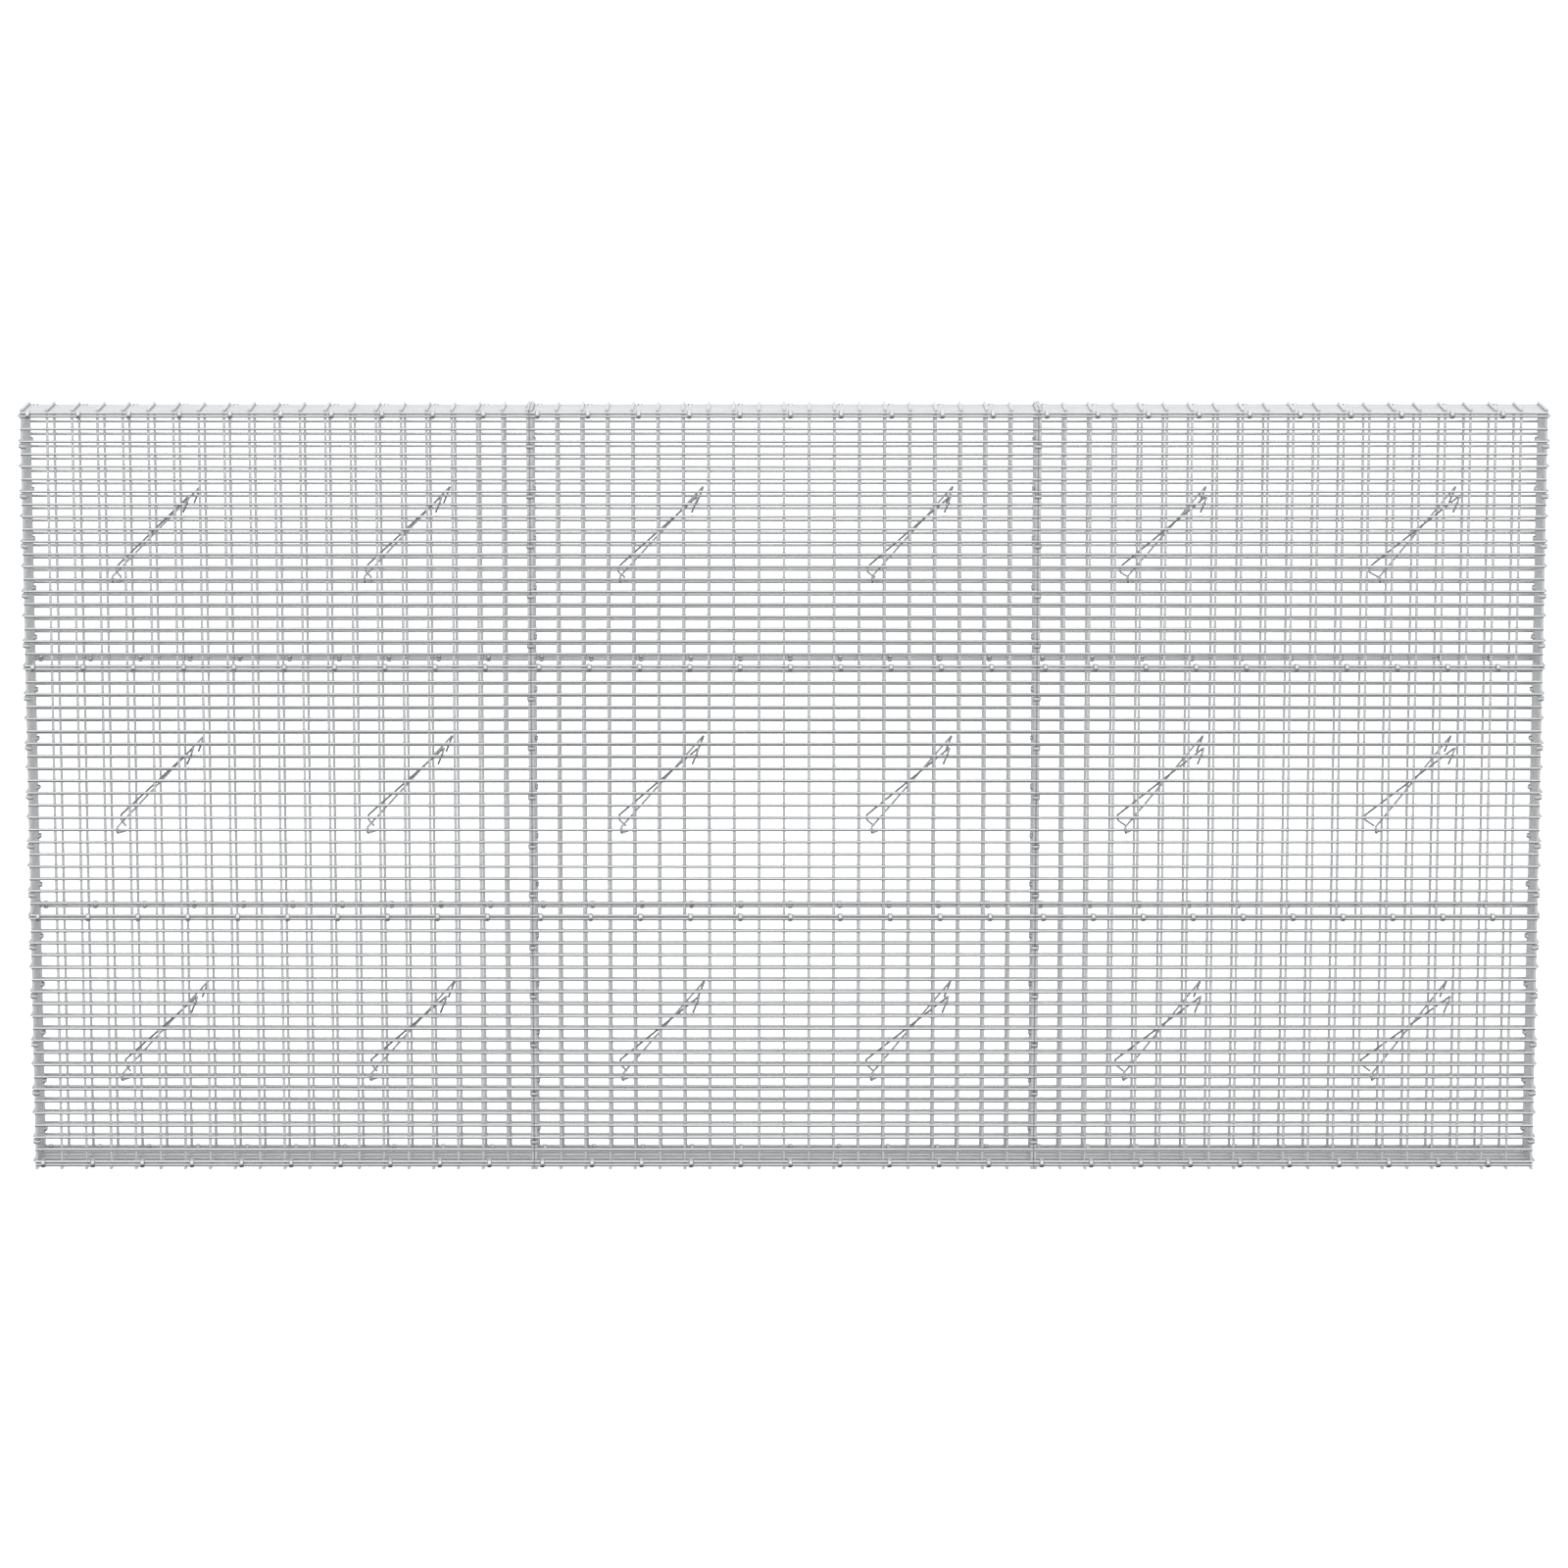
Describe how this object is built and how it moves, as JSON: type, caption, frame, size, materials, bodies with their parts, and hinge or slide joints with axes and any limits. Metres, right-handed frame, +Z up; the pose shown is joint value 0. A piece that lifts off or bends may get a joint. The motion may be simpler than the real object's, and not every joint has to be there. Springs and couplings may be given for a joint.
{
  "type": "gabion wall cage",
  "caption": "Free-standing gabion wall cage of welded wire mesh panels in bays and tiers, tied with rings and braced inside, closed with mesh covers.",
  "frame": {"origin": "middle of the wall's footprint, at the underside of the base panels' outer cross wires", "axes": "+X along the wall from its left end to its right end as seen from the front, +Y through the wall from front to back, +Z up"},
  "size_m": [6.0642, 0.285, 3.1022],
  "materials": {
    "face_mesh": "bright galvanised welded wire mesh",
    "end_mesh": "bright galvanised welded wire mesh",
    "cover_mesh": "bright galvanised welded wire mesh",
    "brace_wire": "galvanised drawn wire",
    "ring_wire": "galvanised ring wire"
  },
  "bodies": {
    "root": {"front_panel_left_lower": "face_mesh", "front_panel_left_middle": "face_mesh", "front_panel_left_upper": "face_mesh", "front_panel_centre_lower": "face_mesh", "front_panel_centre_middle": "face_mesh", "front_panel_centre_upper": "face_mesh", "front_panel_right_lower": "face_mesh", "front_panel_right_middle": "face_mesh", "front_panel_right_upper": "face_mesh", "back_panel_left_lower": "face_mesh", "back_panel_left_middle": "face_mesh", "back_panel_left_upper": "face_mesh", "back_panel_centre_lower": "face_mesh", "back_panel_centre_middle": "face_mesh", "back_panel_centre_upper": "face_mesh", "back_panel_right_lower": "face_mesh", "back_panel_right_middle": "face_mesh", "back_panel_right_upper": "face_mesh", "braces_left_lower": "brace_wire", "braces_left_middle": "brace_wire", "braces_left_upper": "brace_wire", "braces_centre_lower": "brace_wire", "braces_centre_middle": "brace_wire", "braces_centre_upper": "brace_wire", "braces_right_lower": "brace_wire", "braces_right_middle": "brace_wire", "braces_right_upper": "brace_wire", "end_panel_left_lower": "end_mesh", "end_panel_left_middle": "end_mesh", "end_panel_left_upper": "end_mesh", "end_panel_right_lower": "end_mesh", "end_panel_right_middle": "end_mesh", "end_panel_right_upper": "end_mesh", "cover_left": "cover_mesh", "cover_centre": "cover_mesh", "cover_right": "cover_mesh", "base_panel_left": "cover_mesh", "base_panel_centre": "cover_mesh", "base_panel_right": "cover_mesh", "rings_front": "ring_wire", "rings_back": "ring_wire", "rings_left_end": "ring_wire", "rings_right_end": "ring_wire", "rings_covers": "ring_wire"}
  },
  "joints": []
}
